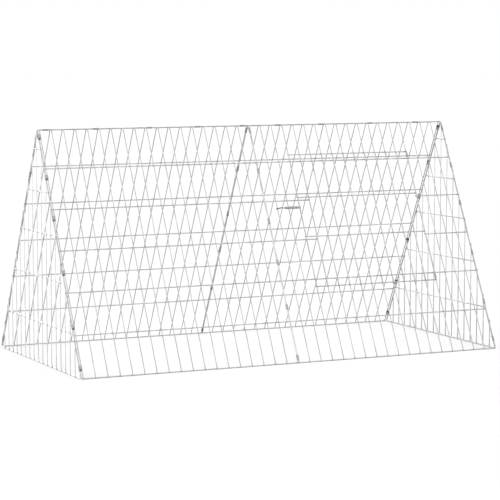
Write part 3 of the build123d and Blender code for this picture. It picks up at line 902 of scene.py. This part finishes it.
# Painted shade: the ridge clips and the right front clips get the darker sheet
ridge_clip = bent_clip(2 * HALF_RIDGE, THICK_INSIDE, THICK_INSIDE, CLIP_LENGTH, sheet=SHADED_SHEET)
front_clip = bent_clip(2 * HALF_SEAM, THIN_INSIDE, THIN_INSIDE, CLIP_LENGTH)
back_clip = bent_clip(2 * HALF_SEAM, THIN_INSIDE, THIN_INSIDE, CLIP_LENGTH, crimped=-1)
edge_sizes = EDGE_REACH.length, THIN_INSIDE, THICK_INSIDE, CLIP_LENGTH
left_clip = bent_clip(*edge_sizes, crimped=1, pinch_shade=LIT_CRIMP_SHADE)
right_front_clip = bent_clip(*edge_sizes, sheet=SHADED_SHEET)
right_back_clip = bent_clip(*edge_sizes, crimped=-1, shade_span=1.0)
hinge_clip = bent_clip(
    HINGE_REACH.length, UPRIGHT_WIRE / 2 + HINGE_PLAY, FRAME_WIRE / 2 + HINGE_PLAY, HINGE_CLIP_LENGTH
)
patterns.update(ridge=ridge_clip, front=front_clip, back=back_clip, hinge=hinge_clip)
patterns.update(left=left_clip, right_front=right_front_clip, right_back=right_back_clip)


def clips_of(node, pattern, across, slit, lean=0.0):
    """Copies of a clip in place of each clip of a node."""
    middles = clip_middles(node, across, slit, lean)
    pieces = [copy_of(pattern, standing(middle, across, slit)) for middle in middles]
    put(f"bent_{node}", pieces, Matrix.Identity(4), "frame", "clip_sheet", node)


for side in ("left", "right"):
    clips_of(f"ridge_clips_{side}", ridge_clip, ACROSS_END, -UPWARD)
OUT_FRONT = ALONG_RIDGE.cross(UP_FRONT)
seam_slit = -OUT_FRONT
edge_across = (FRONT.to_3x3() @ EDGE_REACH).normalized()
edge_slit = UP_FRONT.cross(edge_across)
edge_lean = (THICK_INSIDE - THIN_INSIDE) / 2
half_turn = TURN_ROUND.to_3x3()
mirror = Matrix.Diagonal((-1, 1, 1))
clips_of("front_seam_clips", front_clip, ALONG_RIDGE, seam_slit)
clips_of("back_seam_clips", back_clip, half_turn @ ALONG_RIDGE, half_turn @ seam_slit)
for height in ("upper", "lower"):
    for corner, pattern, facing in (
        ("right_front", right_front_clip, Matrix.Identity(3)),
        ("left_front", left_clip, mirror),
        ("left_back", left_clip, half_turn),
        ("right_back", right_back_clip, half_turn @ mirror),
    ):
        node = f"{corner}_{height}_clips"
        clips_of(node, pattern, facing @ edge_across, facing @ edge_slit, edge_lean)
for height, down in (
    ("upper", (DOOR_TOP + ROW_AT[WAY_TOP]) / 2),
    ("lower", (DOOR_BOTTOM + ROW_AT[WAY_BOTTOM]) / 2),
):
    at_hinge = Vector((DOOR_RIGHT + DOOR_SET_LEFT / 2, -down, (UPRIGHT_OUT + PIVOT_OUT) / 2))
    across = HINGE_REACH.normalized()
    place = FRONT @ standing(at_hinge, across, Vector((0, 1, 0)).cross(across))
    node = f"door_hinge_clip_{height}"
    put(f"bent_{node}", [copy_of(hinge_clip, place)], Matrix.Identity(4), "frame", "clip_sheet", node)


# Spring latch: along from the door's edge wire to the hook, up the slope, outward

LATCH_REACH = DOOR_LEFT - LATCH_UPRIGHT * UPRIGHT_PITCH
EYE_RADIUS = FRAME_WIRE / 2 + EYE_PLAY + SPRING_WIRE / 2
HOOK_RADIUS = UPRIGHT_WIRE / 2 + HOOK_PLAY + SPRING_WIRE / 2
COIL_LENGTH = LATCH_REACH - EYE_LEAD - HOOK_LEG
COIL_TURNS = floor(COIL_LENGTH / SPRING_PITCH)
COIL_RADIUS = (SPRING_DIAMETER - SPRING_WIRE) / 2
TAPER_RADIUS = (TAPER_DIAMETER - SPRING_WIRE) / 2


def spring_stations():
    """Points and directions along the spring's wire, from its eye to the tip of its hook and back."""
    stations = []
    for left in (EYE_WRAP, pi, pi / 2, 0):
        angle = pi / 2 + left
        point = Vector((EYE_RADIUS * cos(angle), 0, EYE_RADIUS * sin(angle)))
        stations.append((point, Vector((sin(angle), 0, -cos(angle)))))
    advance = COIL_LENGTH / (2 * pi * COIL_TURNS)
    narrowing = (COIL_RADIUS - TAPER_RADIUS) / (2 * pi * TAPER_TURNS)
    for quarter in range(4 * COIL_TURNS + 1):
        turned = quarter * pi / 2
        into_taper = max(0.0, turned - 2 * pi * (COIL_TURNS - TAPER_TURNS))
        radius = COIL_RADIUS - narrowing * into_taper
        closing = narrowing if into_taper > 0 else 0.0
        angle = turned - pi / 2
        along = EYE_LEAD + advance * turned
        point = Vector((along, radius * sin(angle), COIL_LIFT + radius * cos(angle)))
        up = radius * cos(angle) - closing * sin(angle)
        out = -radius * sin(angle) - closing * cos(angle)
        stations.append((point, Vector((advance, up, out)).normalized()))
    hook_out = UPRIGHT_OUT + HOOK_RADIUS - PIVOT_OUT
    tip = Vector((LATCH_REACH + HOOK_RADIUS, 0, hook_out - HOOK_RADIUS))
    strand = [
        (Vector((EYE_LEAD + COIL_LENGTH + HOOK_NECK, 0, COIL_LIFT)), Vector((1, 0, 0))),
        (Vector((LATCH_REACH, 0, hook_out)), Vector((1, 0, 0))),
        (tip, Vector((0, 0, -1))),
        (tip - Vector((0, 0, HOOK_TIP)), Vector((0, 0, -1))),
    ]
    turn = tip + Vector((0, HOOK_FOLD / 2, -HOOK_TIP - HOOK_FOLD / 2))
    stations += [*strand, (turn, Vector((0, 1, 0)))]
    for point, way in reversed(strand):
        stations.append((point + Vector((0, HOOK_FOLD, 0)), -way))
    return stations


def coiled_spring():
    """The latch: one wire with an eye, a coil that narrows at its end, and a hook."""
    deselect()
    bpy.ops.curve.primitive_bezier_curve_add()
    spring = bpy.context.object
    stations = spring_stations()
    curve = spring.data
    points = curve.splines[0].bezier_points
    points.add(len(stations) - len(points))
    for number, (point, way) in enumerate(stations):
        before = stations[max(number - 1, 0)][0]
        after = stations[min(number + 1, len(stations) - 1)][0]
        knot = points[number]
        knot.handle_left_type = "FREE"
        knot.handle_right_type = "FREE"
        knot.co = point
        knot.handle_left = point - way * QUARTER_HANDLE * (point - before).length
        knot.handle_right = point + way * QUARTER_HANDLE * (after - point).length
    curve.resolution_u = SPRING_STEPS
    curve.bevel_depth = SPRING_WIRE / 2
    curve.bevel_resolution = SPRING_FINENESS
    curve.use_fill_caps = True
    hold(spring)
    bpy.ops.object.convert(target="MESH")
    smooth(spring, SPRING_CREASE)
    dress(spring, SPRING, HOOK)
    hook_from = EYE_LEAD + COIL_LENGTH + HOOK_NECK / 2
    for face in spring.data.polygons:
        face.material_index = int(face.center.x > hook_from)
    return spring


latch_at = Vector((DOOR_LEFT, -ROW_AT[LATCH_ROW] - LATCH_DROP, PIVOT_OUT))
latch_place = FRONT @ Matrix.Translation(latch_at) @ Matrix.Diagonal((-1, 1, 1, 1))
latch = put("coiled_latch", [coiled_spring()], latch_place, "latch", "spring_wire", "door_latch_spring")
edit(latch, "FACE", lambda face: True)
bpy.ops.mesh.remove_doubles(threshold=TOUCHING)
bpy.ops.mesh.normals_make_consistent(inside=False)
leave_edit()

for pattern in patterns.values():
    bpy.data.objects.remove(pattern)


# Floor, light and camera

FLOOR_PALE = (0.64, 0.64, 0.64, 1)
FLOOR_WARM = (0.632, 0.632, 0.63, 1)
FLOOR_PAINTED_LIGHT = (0.705, 0.705, 0.703, 1)  # painted lighter under the cage, to cancel the shade that its wires cast on the floor
FLOOR_FADE = (0.6, 1.6)  # how far from the middle that painted light ends
FLOOR_RADIUS = 60
FLOOR_SIDES = 96
FLOOR_PATCHES = 0.7  # to the metre
FLOOR_GRAIN = 4.0
FLOOR_ROUGHNESS = 0.85
FLOOR_GRAIN_ROUGHNESS = 0.1
HORIZON_GLOW = 1.0
WALL_GLOW = 1.75  # of the studio's walls above the horizon
BACK_GLOW = 5.0  # of the bright wall behind the cage
CEILING_GLOW = 1.2
# Where those begin and are at their full glow, as parts of a direction's length
WALL_RISES = (0.10, 0.20)
CEILING_RISES = (0.66, 0.80)
BACK_DEPTHS = (0.70, 0.90)
BACK_RISES = (0.10, 0.16)


def studio_floor():
    """A wide pale floor, painted lighter under the cage against the shade of its wires."""
    deselect()
    bpy.ops.mesh.primitive_circle_add(vertices=FLOOR_SIDES, radius=FLOOR_RADIUS, fill_type="NGON")
    ground = bpy.context.object
    ground.name = "studio_floor"
    material, place, shader = new_finish("floor_paint")
    away = place.node("ShaderNodeVectorMath", {0: place}, output="Value", operation="LENGTH")
    paint = place.cloud(FLOOR_PATCHES).between(*CLOUD_EDGES).blend(FLOOR_PALE, FLOOR_WARM)
    roughness = FLOOR_ROUGHNESS + place.cloud(FLOOR_GRAIN) * FLOOR_GRAIN_ROUGHNESS
    place.feed(shader.inputs["Base Color"], away.between(*FLOOR_FADE).blend(FLOOR_PAINTED_LIGHT, paint))
    place.feed(shader.inputs["Roughness"], roughness)
    shader.inputs["Specular IOR Level"].default_value = 0.0
    dress(ground, material)


def studio_light():
    """Soft light from all round, brighter from the wall behind the cage."""
    world = bpy.data.worlds.new("studio_light")
    world.use_nodes = True
    bpy.context.scene.world = world
    way = Signal(world.node_tree).node("ShaderNodeTexCoord", output="Generated")
    height = way.node("ShaderNodeSeparateXYZ", {0: way}, output="Z")
    behind = way.node("ShaderNodeSeparateXYZ", {0: way}, output="Y")
    glow = HORIZON_GLOW + height.between(*WALL_RISES) * (WALL_GLOW - HORIZON_GLOW)
    glow = glow + height.between(*CEILING_RISES) * (CEILING_GLOW - WALL_GLOW)
    back_wall = behind.between(*BACK_DEPTHS) * height.between(*BACK_RISES)
    glow = glow + back_wall * (BACK_GLOW - WALL_GLOW)
    background = world.node_tree.nodes["Background"]
    way.feed(background.inputs["Strength"], glow)
    background.inputs["Color"].default_value = (1, 1, 1, 1)


LENS, SENSOR = 152.04, 36  # millimetres
VIEW_END = 200
VIEW_AZIMUTH = radians(-25.495)
VIEW_RISE = radians(5.904)
VIEW_DISTANCE = 9.504
VIEW_AIM = Vector((0.0103, 0.0, 0.4426))


def photo_camera():
    """The camera, at the angle of the photograph."""
    view = bpy.data.cameras.new("camera")
    view.lens = LENS
    view.sensor_width = SENSOR
    view.clip_end = VIEW_END
    camera = bpy.data.objects.new("camera", view)
    bpy.context.scene.collection.objects.link(camera)
    flat = cos(VIEW_RISE)
    way = Vector((sin(VIEW_AZIMUTH) * flat, -cos(VIEW_AZIMUTH) * flat, sin(VIEW_RISE)))
    camera.location = VIEW_AIM + way * VIEW_DISTANCE
    camera.rotation_euler = way.to_track_quat("Z", "Y").to_euler()
    bpy.context.scene.camera = camera


studio_floor()
studio_light()
photo_camera()
bpy.context.scene.view_settings.view_transform = "Standard"
